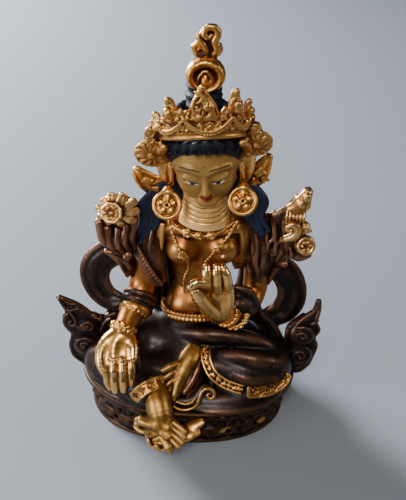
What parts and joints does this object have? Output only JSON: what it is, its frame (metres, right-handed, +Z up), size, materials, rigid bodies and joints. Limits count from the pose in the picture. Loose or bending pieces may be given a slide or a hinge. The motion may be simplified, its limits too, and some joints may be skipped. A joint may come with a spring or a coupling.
{
  "type": "seated tara figure",
  "caption": "Small seated goddess figure with a tall crown, flowers at the shoulders and scrolling scarves, on an oval lotus plinth.",
  "frame": {"origin": "middle of the plinth's flat underside", "axes": "+Z up along the figure's height, -Y the way the figure faces, +X its own left side"},
  "size_m": [0.0625, 0.0482, 0.0949],
  "materials": {
    "tara_figure": "worn gilding over dark patinated copper alloy",
    "lotus_plinth": "dark brown patinated copper alloy, rubbed on its edges"
  },
  "bodies": {
    "root": {"tara_figure": "tara_figure", "lotus_plinth": "lotus_plinth"}
  },
  "joints": []
}
